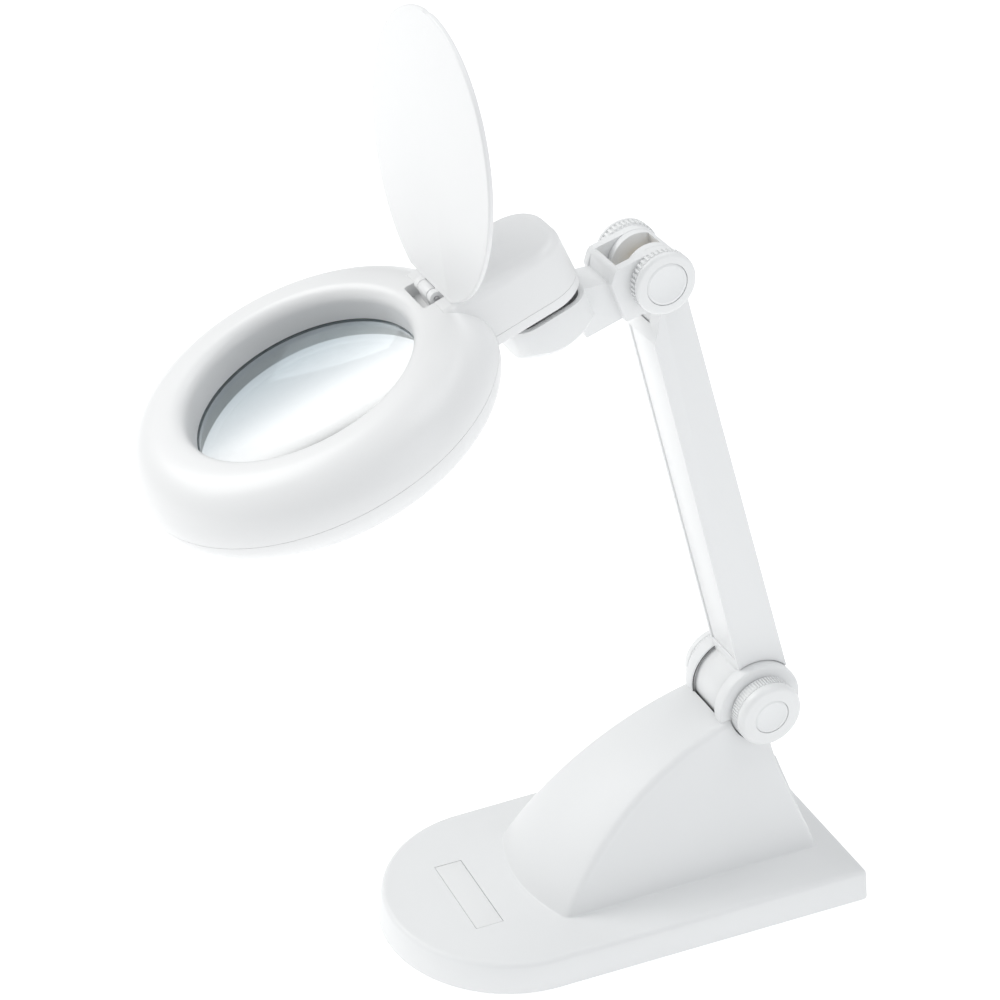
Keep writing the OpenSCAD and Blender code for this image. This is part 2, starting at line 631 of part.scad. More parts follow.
module diffuser_ring() color("ivory") in_head() rotate_extrude() {
  translate([opening_r + 4, ring_bot + 0.1]) square([window_r - 0.2 - opening_r - 4, 2.4]);
  translate([opening_r + 4, ring_bot + 0.1]) square([1.8, part_h - 0.4 - ring_bot]);
  translate([window_r - 2, ring_bot + 2.3]) square([1.8, 1.6]);
  translate([window_r - 2, ring_bot + 2.6]) square([2.8, 1.3]);
}
module led_board() color("white") in_head() translate([0, 0, -19]) difference() {
  cylinder(h = 1.6, r = opening_r + 17.5);
  translate([0, 0, -1]) cylinder(h = 20, r = opening_r + 6.5);
}
module leds() color("khaki") in_head() for (i = [0 : led_count - 1]) rotate([0, 0, i * 360 / led_count])
  translate([opening_r + 10.6, -1.4, -20.2]) cube([3.5, 2.8, 1.2]);
module driver_board() color("darkgreen") in_head() {
  translate([-15, ring_r + 3, -8]) cube([30, 11, 1.6]);
  translate([-9, ring_r + 5, -6.4]) cube([7, 7, 4]);
  translate([3, ring_r + 5, -6.4]) cube([9, 5, 2.5]);
}
module head_screw() translate([0, 0, -1.6]) {
  difference() {
    cylinder(h = 1.6, r = 2.4);
    translate([-1.6, -0.35, -0.1]) cube([3.2, 0.7, 0.8]);
    translate([-0.35, -1.6, -0.1]) cube([0.7, 3.2, 0.8]);
  }
  cylinder(h = 10, r = 1.2);
}
module head_screws() color("silver") in_head() {
  for (s = ring_screws) translate([s[0], s[1], ring_seat_h]) head_screw();
  for (s = tail_screws) translate([s[0], s[1], tail_seat_h]) head_screw();
}
module hinge_block() color("white") in_head() difference() {
  union() {
    translate([0, hinge_e, hinge_h]) across(3, 4.5);
    translate([-4.5, hinge_e - 3, 5]) cube([9, 6, hinge_h - 5]);
  }
  translate([0, hinge_e, hinge_h]) across(pin_r, 10);
}
module hinge_pin() color("silver") in_head() translate([0, hinge_e, hinge_h]) across(pin_r, 9.6);

// ---------- lid, drawn closed and then opened ----------
module lid() color("white") in_lid() difference() {
  union() {
    difference() {
      translate([0, lid_c, lid_h - lid_t / 2]) cylinder(h = lid_t, r = lid_r, $fn = 200);
      // finger notch at the free edge
      translate([0, lid_c - lid_r - 6.6, lid_h - lid_t]) cylinder(h = 2 * lid_t, r = 7.4);
      translate([-60, hinge_e - 3.4, 0]) cube([120, 20, 30]);
      // shallow dish inside the rim
      translate([0, lid_c, lid_h + lid_t / 2 - 0.5]) cylinder(h = 4, r = lid_r - 2.2, $fn = 200);
    }
    pair() translate([5, 0, 0]) {
      translate([0, hinge_e, hinge_h]) across_from(2.9, 0, 3.5);
      translate([0, hinge_e - 6, lid_h - lid_t / 2]) cube([3.5, 6, lid_t - 0.4]);
    }
  }
  translate([0, hinge_e, hinge_h]) across(pin_r + shaft_clear, 30);
}

base_shell();
base_bottom_plate();
ballast_weight();
base_feet();
base_screws();
name_plate();
pedestal_rear_cover();
rear_cover_screws();
dc_inlet();
switch_housing();
switch_rocker();
lower_axle();
lower_knob_right();
lower_knob_right_cap();
lower_knob_right_insert();
lower_knob_left();
lower_knob_left_cap();
lower_knob_left_insert();
arm_channel();
arm_front_strip();
lower_bushes();
lower_friction_washers();
tongue_spacer();
upper_friction_washers();
arm_lead();
neck_bracket();
upper_axle();
swivel_spindle();
swivel_washer();
swivel_nut();
upper_knob_right();
upper_knob_right_cap();
upper_knob_right_insert();
upper_knob_left();
upper_knob_left_cap();
upper_knob_left_insert();
head_top_shell();
head_bottom_shell();
lens();
lens_retaining_ring();
diffuser_ring();
led_board();
leds();
driver_board();
head_screws();
hinge_block();
hinge_pin();
lid();
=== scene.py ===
import bpy
import bmesh
import json
from math import radians, pi, sin, cos, tan, sqrt, atan2
from mathutils import Matrix, Vector


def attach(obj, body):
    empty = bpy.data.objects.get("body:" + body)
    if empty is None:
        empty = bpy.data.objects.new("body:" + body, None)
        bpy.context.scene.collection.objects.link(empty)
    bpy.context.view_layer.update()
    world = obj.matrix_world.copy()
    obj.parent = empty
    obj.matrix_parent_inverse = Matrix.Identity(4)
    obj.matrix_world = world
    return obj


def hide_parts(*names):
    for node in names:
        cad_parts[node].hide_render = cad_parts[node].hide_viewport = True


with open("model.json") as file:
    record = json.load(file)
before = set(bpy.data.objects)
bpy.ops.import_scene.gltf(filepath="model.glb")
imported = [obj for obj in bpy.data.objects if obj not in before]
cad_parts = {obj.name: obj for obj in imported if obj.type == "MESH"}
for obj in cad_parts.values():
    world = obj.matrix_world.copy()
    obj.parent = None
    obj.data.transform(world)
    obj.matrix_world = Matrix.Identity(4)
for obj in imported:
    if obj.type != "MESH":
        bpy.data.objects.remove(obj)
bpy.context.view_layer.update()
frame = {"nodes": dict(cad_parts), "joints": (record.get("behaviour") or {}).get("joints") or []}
cadNodes = frame["nodes"]
print("frame loaded")

# Everything is drawn in millimetres in the frame of its own part, then placed.
pose = {"armLean": 14.47, "headTilt": 22.68, "lidOpen": 112.3, "rearLean": 20.0}
headPlan = {"upperAlong": 152.55, "upperBelow": 34.89, "hingeAlong": 64.0, "hingeUp": 10.5,
            "swivelAlong": 102.5}
jointAt = {j["name"]: Vector(j["pos_m"]) * 1000 for j in frame["joints"]}
lowerAxis = jointAt["arm_tilt"]
upperAxis = jointAt["neck_tilt"]


def turnX(angle):
    return Matrix.Rotation(radians(angle), 4, "X")


def shift(x, y, z):
    return Matrix.Translation((x, y, z))


worldPlace = Matrix.Scale(0.001, 4)
armPlace = worldPlace @ Matrix.Translation(lowerAxis) @ turnX(pose["armLean"])
headPlace = (worldPlace @ Matrix.Translation(upperAxis) @ turnX(pose["headTilt"])
             @ shift(0, -headPlan["upperAlong"], headPlan["upperBelow"]))
hingeShift = shift(0, headPlan["hingeAlong"], headPlan["hingeUp"])
lidPlace = headPlace @ hingeShift @ turnX(-pose["lidOpen"]) @ hingeShift.inverted()


# Camera, lights and floor.
studio = {"camera": (0.85866, -0.39073, 0.77276), "look": (0.00062, -0.0039, 0.22796), "lens": 90.34,
          "world": 0.58, "key": 17.5, "fill": 3.0, "rim": 5.5, "floorGlow": 0.42}


def aim(obj, target):
    direction = Vector(target) - obj.location
    obj.rotation_euler = direction.to_track_quat("-Z", "Y").to_euler()


def softBox(name, place, target, size, power, colour):
    light = bpy.data.lights.new(name, "AREA")
    light.shape = "RECTANGLE"
    light.size = size[0]
    light.size_y = size[1]
    light.energy = power
    light.color = colour
    obj = bpy.data.objects.new(name, light)
    bpy.context.scene.collection.objects.link(obj)
    obj.location = place
    aim(obj, target)
    return obj


camera = bpy.data.objects.new("camera", bpy.data.cameras.new("camera"))
bpy.context.scene.collection.objects.link(camera)
camera.location = studio["camera"]
camera.data.lens = studio["lens"]
camera.data.sensor_width = 36.0
aim(camera, studio["look"])
bpy.context.scene.camera = camera
bpy.context.scene.view_settings.view_transform = "Standard"

world = bpy.data.worlds.new("studioAir")
bpy.context.scene.world = world
world.use_nodes = True
world.node_tree.nodes["Background"].inputs["Color"].default_value = (0.97, 0.985, 1.0, 1)
world.node_tree.nodes["Background"].inputs["Strength"].default_value = studio["world"]

softBox("keyPanel", (-0.9, -1.1, 1.5), (0, 0, 0.2), (1.2, 1.2), studio["key"], (1.0, 0.995, 0.98))
softBox("fillPanel", (1.4, 0.6, 0.9), (0, 0, 0.22), (1.0, 1.0), studio["fill"], (0.96, 0.98, 1.0))
softBox("topPanel", (0.1, 0.5, 1.7), (0, 0, 0.2), (1.2, 0.8), studio["rim"], (1.0, 1.0, 1.0))
print("camera and lights ready")


# Materials.
def newSkin(name):
    skin = bpy.data.materials.new(name)
    skin.use_nodes = True
    tree = skin.node_tree
    return skin, tree, tree.nodes["Principled BSDF"]


def objectNoise(tree, scale, detail=3.0, stretch=(1, 1, 1)):
    coords = tree.nodes.new("ShaderNodeTexCoord")
    mapping = tree.nodes.new("ShaderNodeMapping")
    mapping.inputs["Scale"].default_value = stretch
    noise = tree.nodes.new("ShaderNodeTexNoise")
    noise.inputs["Scale"].default_value = scale
    noise.inputs["Detail"].default_value = detail
    tree.links.new(coords.outputs["Object"], mapping.inputs["Vector"])
    tree.links.new(mapping.outputs["Vector"], noise.inputs["Vector"])
    return noise


def spread(tree, source, low, high, fromLow=0.3, fromHigh=0.7):
    band = tree.nodes.new("ShaderNodeMapRange")
    band.inputs["From Min"].default_value = fromLow
    band.inputs["From Max"].default_value = fromHigh
    band.inputs["To Min"].default_value = low
    band.inputs["To Max"].default_value = high
    tree.links.new(source, band.inputs["Value"])
    return band.outputs["Result"]


def blendColours(tree, factor, dark, light):
    mix = tree.nodes.new("ShaderNodeMix")
    mix.data_type = "RGBA"
    mix.inputs["A"].default_value = (*dark, 1)
    mix.inputs["B"].default_value = (*light, 1)
    tree.links.new(factor, mix.inputs["Factor"])
    return mix.outputs["Result"]


def addBump(tree, shader, height, strength, distance):
    bump = tree.nodes.new("ShaderNodeBump")
    bump.inputs["Strength"].default_value = strength
    bump.inputs["Distance"].default_value = distance
    tree.links.new(height, bump.inputs["Height"])
    tree.links.new(bump.outputs["Normal"], shader.inputs["Normal"])


def mouldedPlastic(name, colour, rough, grain=1400, grainDepth=0.00006, coat=0.0, drift=0.012):
    skin, tree, shader = newSkin(name)
    fine = objectNoise(tree, grain, 2.0)            # fine texture of the mould
    slow = objectNoise(tree, 14, 2.0)               # faint flow marks and handling
    darker = tuple(max(0.0, c - drift) for c in colour)
    tree.links.new(blendColours(tree, slow.outputs["Fac"], darker, colour), shader.inputs["Base Color"])
    tree.links.new(spread(tree, slow.outputs["Fac"], rough - 0.04, rough + 0.05), shader.inputs["Roughness"])
    addBump(tree, shader, fine.outputs["Fac"], 0.35, grainDepth)
    shader.inputs["IOR"].default_value = 1.49
    shader.inputs["Coat Weight"].default_value = coat
    shader.inputs["Coat Roughness"].default_value = 0.18
    return skin


def turnedMetal(name, colour, rough, stretch=(1, 1, 1), scale=2200):
    skin, tree, shader = newSkin(name)
    marks = objectNoise(tree, scale, 4.0, stretch)
    darker = tuple(c * 0.86 for c in colour)
    tree.links.new(blendColours(tree, marks.outputs["Fac"], darker, colour), shader.inputs["Base Color"])
    tree.links.new(spread(tree, marks.outputs["Fac"], rough - 0.06, rough + 0.1), shader.inputs["Roughness"])
    addBump(tree, shader, marks.outputs["Fac"], 0.2, 0.00003)
    shader.inputs["Metallic"].default_value = 1.0
    return skin


def opticalGlass(name, tint, rough=0.0):
    skin, tree, shader = newSkin(name)
    haze = objectNoise(tree, 30, 2.0)
    lighter = tuple(min(1.0, c + 0.01) for c in tint)
    tree.links.new(blendColours(tree, haze.outputs["Fac"], tint, lighter), shader.inputs["Base Color"])
    tree.links.new(spread(tree, haze.outputs["Fac"], rough, rough + 0.012), shader.inputs["Roughness"])
    shader.inputs["Transmission Weight"].default_value = 1.0
    shader.inputs["IOR"].default_value = 1.49
    return skin


def frostedTray(name, colour):
    skin, tree, shader = newSkin(name)
    prisms = objectNoise(tree, 900, 1.0)
    tree.links.new(blendColours(tree, prisms.outputs["Fac"], tuple(c - 0.03 for c in colour), colour),
                   shader.inputs["Base Color"])
    tree.links.new(spread(tree, prisms.outputs["Fac"], 0.4, 0.55), shader.inputs["Roughness"])
    addBump(tree, shader, prisms.outputs["Fac"], 0.5, 0.00015)
    shader.inputs["Transmission Weight"].default_value = 0.25
    return skin


shellWhite = mouldedPlastic("shellWhite", (0.80, 0.808, 0.812), 0.42)
headWhite = mouldedPlastic("headWhite", (0.815, 0.82, 0.822), 0.36, coat=0.12)
lidWhite = mouldedPlastic("lidWhite", (0.82, 0.825, 0.828), 0.40, coat=0.08)
stripWhite = mouldedPlastic("stripWhite", (0.815, 0.822, 0.826), 0.38)
knobWhite = mouldedPlastic("knobWhite", (0.81, 0.818, 0.82), 0.36, coat=0.15)
capWhite = mouldedPlastic("capWhite", (0.80, 0.81, 0.814), 0.30, coat=0.25)
plateWhite = mouldedPlastic("plateWhite", (0.81, 0.816, 0.818), 0.30, grain=2200)
greyPlastic = mouldedPlastic("greyPlastic", (0.30, 0.305, 0.31), 0.6, grain=900, grainDepth=0.00012)
# black plastic for the inlet and switch, also used as painted shade inside the barrel slot
blackPlasticAndSlotShade = mouldedPlastic("blackPlasticAndSlotShade", (0.03, 0.03, 0.033), 0.5, grain=1200)
rockerBlack = mouldedPlastic("rockerBlack", (0.025, 0.025, 0.028), 0.25, coat=0.3)
footRubber = mouldedPlastic("footRubber", (0.035, 0.035, 0.035), 0.8, grain=700, grainDepth=0.0002)
wireSleeve = mouldedPlastic("wireSleeve", (0.05, 0.05, 0.05), 0.65, grain=1500)
fibreWasher = mouldedPlastic("fibreWasher", (0.14, 0.13, 0.12), 0.85, grain=2600, grainDepth=0.0002)
boardWhite = mouldedPlastic("boardWhite", (0.78, 0.78, 0.76), 0.45, grain=3000)
boardGreen = mouldedPlastic("boardGreen", (0.03, 0.20, 0.09), 0.4, grain=3000)
emitterYellow = mouldedPlastic("emitterYellow", (0.86, 0.70, 0.20), 0.5, grain=4000)
castIron = mouldedPlastic("castIron", (0.16, 0.16, 0.17), 0.75, grain=420, grainDepth=0.0006, drift=0.05)
boltSteel = turnedMetal("boltSteel", (0.62, 0.62, 0.63), 0.28, stretch=(0.15, 1, 1))
screwSteel = turnedMetal("screwSteel", (0.58, 0.58, 0.60), 0.34)
bushBrass = turnedMetal("bushBrass", (0.78, 0.58, 0.26), 0.30)
lensGlass = opticalGlass("lensGlass", (0.965, 0.985, 0.98))
lensTree = lensGlass.node_tree                            # painted shade and painted reflection in the base colour, in place of a reflected studio: grey towards -X where the shaded inside of the head shows through, white in the middle, a teal rim band at +X
lensCoords = lensTree.nodes.new("ShaderNodeTexCoord")
lensSplit = lensTree.nodes.new("ShaderNodeSeparateXYZ")
lensBand = lensTree.nodes.new("ShaderNodeMapRange")
lensBand.inputs["From Min"].default_value = -0.052
lensBand.inputs["From Max"].default_value = 0.052
lensPaintedShadeRamp = lensTree.nodes.new("ShaderNodeValToRGB")
# painted shade stops across the lens, then a painted teal reflection of the rim near the +X edge
lensPaintedShadeStops = [(0.0, (0.30, 0.34, 0.37)), (0.22, (0.38, 0.43, 0.46)), (0.42, (0.56, 0.60, 0.62)),
             (0.58, (0.86, 0.88, 0.89)), (0.68, (0.985, 0.995, 0.995)), (0.86, (0.985, 0.995, 0.995)),
             (0.875, (0.20, 0.46, 0.49)), (1.0, (0.28, 0.55, 0.57))]
lensPaintedShadeRamp.color_ramp.elements[0].position = 0.0
lensPaintedShadeRamp.color_ramp.elements[1].position = 1.0
for at, tint in lensPaintedShadeStops[1:-1]:
    lensPaintedShadeRamp.color_ramp.elements.new(at)
for stop, (at, tint) in zip(lensPaintedShadeRamp.color_ramp.elements, lensPaintedShadeStops):
    stop.color = (*tint, 1)
lensTree.links.new(lensCoords.outputs["Object"], lensSplit.inputs["Vector"])
lensTree.links.new(lensSplit.outputs["X"], lensBand.inputs["Value"])
lensTree.links.new(lensBand.outputs["Result"], lensPaintedShadeRamp.inputs["Fac"])
lensTree.links.new(lensPaintedShadeRamp.outputs["Color"], lensTree.nodes["Principled BSDF"].inputs["Base Color"])
lensRim = opticalGlass("lensRim", (0.30, 0.72, 0.68), 0.12)
diffuserTray = frostedTray("diffuserTray", (0.90, 0.90, 0.88))
print("materials ready")


# Workshop helpers.
def pickEdges(bm, minAngle=0.0, test=None):
    picked = []
    for edge in bm.edges:
        if len(edge.link_faces) != 2:
            continue
        if edge.calc_face_angle(0.0) < radians(minAngle):
            continue
        if test is None or test(edge):
            picked.append(edge)
    return picked


def roundEdges(bm, size, segments=3, minAngle=30.0, test=None):
    edges = pickEdges(bm, minAngle, test)
    if edges:
        bmesh.ops.bevel(bm, geom=edges, offset=size, offset_type="OFFSET", segments=segments,
                        profile=0.5, affect="EDGES", material=-1, clamp_overlap=True)


def pushFace(bm, face, push):
    grown = bmesh.ops.extrude_face_region(bm, geom=[face])["geom"]
    moved = [part for part in grown if isinstance(part, bmesh.types.BMVert)]
    bmesh.ops.translate(bm, verts=moved, vec=push)
    return grown


def slab(corners, push):
    bm = bmesh.new()
    pushFace(bm, bm.faces.new([bm.verts.new(corner) for corner in corners]), push)
    bmesh.ops.recalc_face_normals(bm, faces=bm.faces[:])
    return bm


def sideSlab(outline, x0, x1):
    return slab([(x0, y, z) for y, z in outline], (x1 - x0, 0, 0))


def planSlab(outline, z0, z1):
    return slab([(x, y, z0) for x, y in outline], (0, 0, z1 - z0))


def block(lowest, highest):
    bm = bmesh.new()
    bmesh.ops.create_cube(bm, size=1.0)
    size = [b - a for a, b in zip(lowest, highest)]
    centre = [(a + b) / 2 for a, b in zip(lowest, highest)]
    bmesh.ops.scale(bm, verts=bm.verts[:], vec=size)
    bmesh.ops.translate(bm, verts=bm.verts[:], vec=centre)
    return bm


def drum(radius, x0, x1, centre=(0, 0), steps=72, rim=0.0):
    bm = bmesh.new()
    bmesh.ops.create_cone(bm, cap_ends=True, segments=steps, radius1=radius, radius2=radius, depth=x1 - x0)
    bmesh.ops.rotate(bm, verts=bm.verts[:], cent=(0, 0, 0), matrix=Matrix.Rotation(pi / 2, 3, "Y"))
    bmesh.ops.translate(bm, verts=bm.verts[:], vec=((x0 + x1) / 2, centre[0], centre[1]))
    if rim > 0:
        roundEdges(bm, rim, 3, 60)
    return bm


def post(radius, z0, z1, centre=(0, 0), steps=64):
    bm = bmesh.new()
    bmesh.ops.create_cone(bm, cap_ends=True, segments=steps, radius1=radius, radius2=radius, depth=z1 - z0)
    bmesh.ops.translate(bm, verts=bm.verts[:], vec=(centre[0], centre[1], (z0 + z1) / 2))
    return bm


def spinSection(points, rounds, steps=180, segments=12):
    bm = bmesh.new()
    corners = [bm.verts.new((r, 0, h)) for r, h in points]
    face = bm.faces.new(corners)
    for index, size in rounds.items():
        bmesh.ops.bevel(bm, geom=[corners[index]], offset=size, offset_type="OFFSET", segments=segments,
                        profile=0.5, affect="VERTICES", material=-1, clamp_overlap=False)
    bmesh.ops.delete(bm, geom=bm.faces[:], context="FACES_ONLY")
    bmesh.ops.spin(bm, geom=bm.verts[:] + bm.edges[:], cent=(0, 0, 0), axis=(0, 0, 1), angle=2 * pi,
                   steps=steps, use_merge=True)
    bmesh.ops.remove_doubles(bm, verts=bm.verts[:], dist=0.001)
    bmesh.ops.recalc_face_normals(bm, faces=bm.faces[:])
    return bm


def asObject(bm, name):
    mesh = bpy.data.meshes.new(name)
    bm.to_mesh(mesh)
    obj = bpy.data.objects.new(name, mesh)
    bpy.context.scene.collection.objects.link(obj)
    return obj


def joinOrCut(bm, tool, operation):
    body = asObject(bm, "workBody")
    other = asObject(tool, "workTool")
    modifier = body.modifiers.new("joinOrCut", "BOOLEAN")
    modifier.operation = operation
    modifier.solver = "EXACT"
    modifier.object = other
    evaluated = body.evaluated_get(bpy.context.evaluated_depsgraph_get())
    result = bmesh.new()
    result.from_mesh(evaluated.to_mesh())
    for obj in (body, other):
        mesh = obj.data
        bpy.data.objects.remove(obj)
        bpy.data.meshes.remove(mesh)
    bm.free()
    tool.free()
    return result


def weld(bm, *tools):
    for tool in tools:
        bm = joinOrCut(bm, tool, "UNION")
    return bm


def carve(bm, *tools):
    for tool in tools:
        bm = joinOrCut(bm, tool, "DIFFERENCE")
    return bm


def tidyMesh(bm, dist=0.002):
    bmesh.ops.remove_doubles(bm, verts=bm.verts[:], dist=dist)
    bmesh.ops.dissolve_degenerate(bm, edges=bm.edges[:], dist=dist)
    return bm


def finishPiece(bm, name, place, skins, body, nodes=(), creaseAngle=32.0):
    if place is not None:
        bmesh.ops.transform(bm, matrix=place, verts=bm.verts[:], space=Matrix.Identity(4))
    for face in bm.faces:
        face.smooth = True
    for edge in bm.edges:
        edge.smooth = edge.calc_face_angle(0.0) < radians(creaseAngle)
    obj = asObject(bm, name)
    bm.free()
    for skin in skins if isinstance(skins, (list, tuple)) else [skins]:
        obj.data.materials.append(skin)
    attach(obj, body)
    if nodes:
        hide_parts(*nodes)
    return obj


def softened(node, name, skin, body, size, segments=2, minAngle=38.0):
    bm = bmesh.new()
    bm.from_mesh(cadNodes[node].data)
    bmesh.ops.scale(bm, verts=bm.verts[:], vec=(1000, 1000, 1000))
    bmesh.ops.remove_doubles(bm, verts=bm.verts[:], dist=0.004)
    bmesh.ops.dissolve_limit(bm, angle_limit=radians(0.6), verts=bm.verts[:], edges=bm.edges[:],
                             delimit=set())
    roundEdges(bm, size, segments, minAngle)
    tidyMesh(bm)
    return finishPiece(bm, name, worldPlace, skin, body, [node])


# Base with its pedestal.
baseSizes = {"frontHalf": 61.0, "rearHalf": 65.2, "frontY": -1.0, "rearY": 162.0, "bottom": 0.8, "top": 16.0,
             "sideLean": 9.0, "rearDraft": 0.3, "topRound": 2.6, "rearCorner": 2.5, "floorRound": 0.5,
             "wall": 2.9, "cavity": 11.5, "frontSteps": 28}
pedestalSizes = {"footHalf": 36.2, "taper": 0.218, "footY": 13.8, "sunk": 1.5, "arcY": 145.0, "arcZ": -50.4,
                 "arcRadius": 146.6, "arcEnd": 15.2, "arcSteps": 26, "layers": 14, "bulge": 9.0,
                 "bulgeFade": 78.0, "edgeRound": 2.6, "footRound": 2.6, "earRadius": 21.3, "earIn": 12.0,
                 "earOut": 18.0, "earRim": 1.1, "barrelGap": 20.3, "seatRadius": 17.1, "roundSteps": 96,
                 "rear": [(124.0, 91.5), (128.4, 72.5), (131.2, 61.8), (135.5, 51.0), (140.6, 38.0),
                          (145.6, 26.5)], "rearFoot": 149.6}


def makePlate(s):
    bm = bmesh.new()
    bmesh.ops.create_cube(bm, size=2.0)
    for v in bm.verts:
        half = s["frontHalf"] if v.co.y < 0 else s["rearHalf"]
        y = s["frontY"] - s["frontHalf"] if v.co.y < 0 else s["rearY"]
        v.co = (half * v.co.x, y, s["bottom"] if v.co.z < 0 else s["top"])
    upright = [e for e in bm.edges if abs(e.verts[0].co.z - e.verts[1].co.z) > 5 and e.verts[0].co.y < 0]
    bmesh.ops.bevel(bm, geom=upright, offset=s["frontHalf"] - 0.05, offset_type="OFFSET",
                    segments=s["frontSteps"], profile=0.5, affect="EDGES", material=-1, clamp_overlap=False)
    roundEdges(bm, s["rearCorner"], 3, 60, lambda e: e.verts[0].co.y > 100 and e.verts[1].co.y > 100
               and abs(e.verts[0].co.z - e.verts[1].co.z) > 5)
    leanIn = (s["top"] - s["bottom"]) * tan(radians(s["sideLean"]))
    for v in bm.verts:                                    # mould draft
        if v.co.z > 8:
            v.co.x *= 1 - leanIn / s["frontHalf"]
            if v.co.y < s["frontY"]:
                v.co.y = s["frontY"] + (v.co.y - s["frontY"]) * (1 - leanIn / s["frontHalf"])
            elif v.co.y > 100:
                v.co.y -= s["rearDraft"]
    bmesh.ops.remove_doubles(bm, verts=bm.verts[:], dist=0.08)
    bm.faces.ensure_lookup_table()
    topFace = max(bm.faces, key=lambda f: f.calc_center_median().z)
    bmesh.ops.bevel(bm, geom=list(topFace.edges), offset=s["topRound"], offset_type="OFFSET", segments=5,
                    profile=0.5, affect="EDGES", material=-1, clamp_overlap=True)
    bm.faces.ensure_lookup_table()
    floorFace = min(bm.faces, key=lambda f: f.calc_center_median().z)
    bmesh.ops.bevel(bm, geom=list(floorFace.edges), offset=s["floorRound"], offset_type="OFFSET", segments=2,
                    profile=0.5, affect="EDGES", material=-1, clamp_overlap=True)
    bm.faces.ensure_lookup_table()
    floorFace = min(bm.faces, key=lambda f: f.calc_center_median().z)
    bmesh.ops.inset_region(bm, faces=[floorFace], thickness=s["wall"] - s["floorRound"], depth=0.0)
    bm.faces.ensure_lookup_table()
    floorFace = min((f for f in bm.faces if len(f.verts) > 8), key=lambda f: f.calc_center_median().z)
    pushFace(bm, floorFace, (0, 0, s["cavity"]))
    bmesh.ops.delete(bm, geom=[floorFace], context="FACES_ONLY")
    bmesh.ops.recalc_face_normals(bm, faces=bm.faces[:])
    return bm


def makePedestal(s, b):
    outline = []
    centre = Vector((0, s["arcY"], s["arcZ"]))
    foot = b["top"] - s["sunk"]
    first = Vector((0, s["footY"], foot)) - centre
    firstAngle = atan2(first.z, -first.y)
    lastAngle = radians(90 - s["arcEnd"])
    for i in range(s["arcSteps"] + 1):                    # domed front, from the foot up to the barrel
        a = firstAngle + (lastAngle - firstAngle) * i / s["arcSteps"]
        outline.append((s["arcY"] - s["arcRadius"] * cos(a), s["arcZ"] + s["arcRadius"] * sin(a)))
    outline += s["rear"] + [(s["rearFoot"], foot)]
    bm = bmesh.new()
    face = bm.faces.new([bm.verts.new((-1, y, z)) for y, z in outline])
    for i in range(s["layers"]):
        grown = pushFace(bm, face, (2 / s["layers"], 0, 0))
        if i > 0:
            bmesh.ops.delete(bm, geom=[face], context="FACES_ONLY")
        face = [part for part in grown if isinstance(part, bmesh.types.BMFace)][0]
    for v in bm.verts:
        t = v.co.x
        away = (v.co.y - s["arcY"]) ** 2 + (v.co.z - s["arcZ"]) ** 2
        onFront = away > (s["arcRadius"] - 0.3) ** 2 and v.co.y < 112
        v.co.x = t * (s["footHalf"] - s["taper"] * (v.co.z - b["top"]))
        if onFront:                                       # the front swells towards its middle
            fade = max(0.0, 1 - (v.co.z - b["top"]) / s["bulgeFade"])
            v.co.y -= s["bulge"] * (1 - t * t) * (0.15 + 0.85 * fade)
    bmesh.ops.remove_doubles(bm, verts=bm.verts[:], dist=0.01)
    bmesh.ops.recalc_face_normals(bm, faces=bm.faces[:])
    roundEdges(bm, s["edgeRound"], 5, 40, lambda e: min(e.verts[0].co.z, e.verts[1].co.z) > b["top"] - 1.6
               and not (e.verts[0].co.z < b["top"] and e.verts[1].co.z < b["top"]))
    return bm


plate = makePlate(baseSizes)
pedestal = makePedestal(pedestalSizes, baseSizes)
axisYZ = (lowerAxis.y, lowerAxis.z)
earIn, earOut = pedestalSizes["earIn"], pedestalSizes["earOut"]


def earDrum(radiusName, x0, x1, rim=0.0):
    return drum(pedestalSizes[radiusName], x0, x1, axisYZ, pedestalSizes["roundSteps"], rim)


pedestal = carve(pedestal, earDrum("seatRadius", earOut, 60), earDrum("seatRadius", -60, -earOut))
pedestal = weld(pedestal, earDrum("earRadius", earIn - 1, earOut, pedestalSizes["earRim"]),
                earDrum("earRadius", -earOut, 1 - earIn, pedestalSizes["earRim"]))
pedestal = carve(pedestal, earDrum("barrelGap", -earIn, earIn))
shell = weld(plate, pedestal)
tidyMesh(shell, 0.004)
footTop = baseSizes["top"]


def atFoot(edge):
    return all(abs(v.co.z - footTop) < 0.01 and abs(v.co.x) < 46 and -2 < v.co.y < 156 for v in edge.verts)


roundEdges(shell, pedestalSizes["footRound"], 4, 20, atFoot)
plateSizes = {"half": 25.0, "front": -27.0, "rear": -13.0, "deep": 0.8, "gap": 0.25, "below": 0.02,
              "round": 0.25}
rearPanel = {"lowHalf": 33.0, "highHalf": 23.4, "low": 7.0, "high": 56.0, "behindAxis": 25.8}
inlet = {"radius": 4.2, "y": 162.0, "z": 8.0, "deep": 14.0, "proud": 6.0}
shell = carve(shell, block((-plateSizes["half"], plateSizes["front"], footTop - plateSizes["deep"]),
                           (plateSizes["half"], plateSizes["rear"], footTop + 2)))
rearTurn = shift(0, lowerAxis.y + rearPanel["behindAxis"], footTop) @ turnX(pose["rearLean"])


def rearShape(inset, deep, proud):
    wide, narrow = rearPanel["lowHalf"] - inset, rearPanel["highHalf"] - inset
    low, high = rearPanel["low"] + inset, rearPanel["high"] - inset
    outline = [(-wide, low), (wide, low), (narrow, high), (-narrow, high)]
    bm = planSlab(outline, -proud, deep)
    bmesh.ops.rotate(bm, verts=bm.verts[:], cent=(0, 0, 0), matrix=Matrix.Rotation(pi / 2, 3, "X"))
    bmesh.ops.transform(bm, matrix=rearTurn, verts=bm.verts[:], space=Matrix.Identity(4))
    return bm


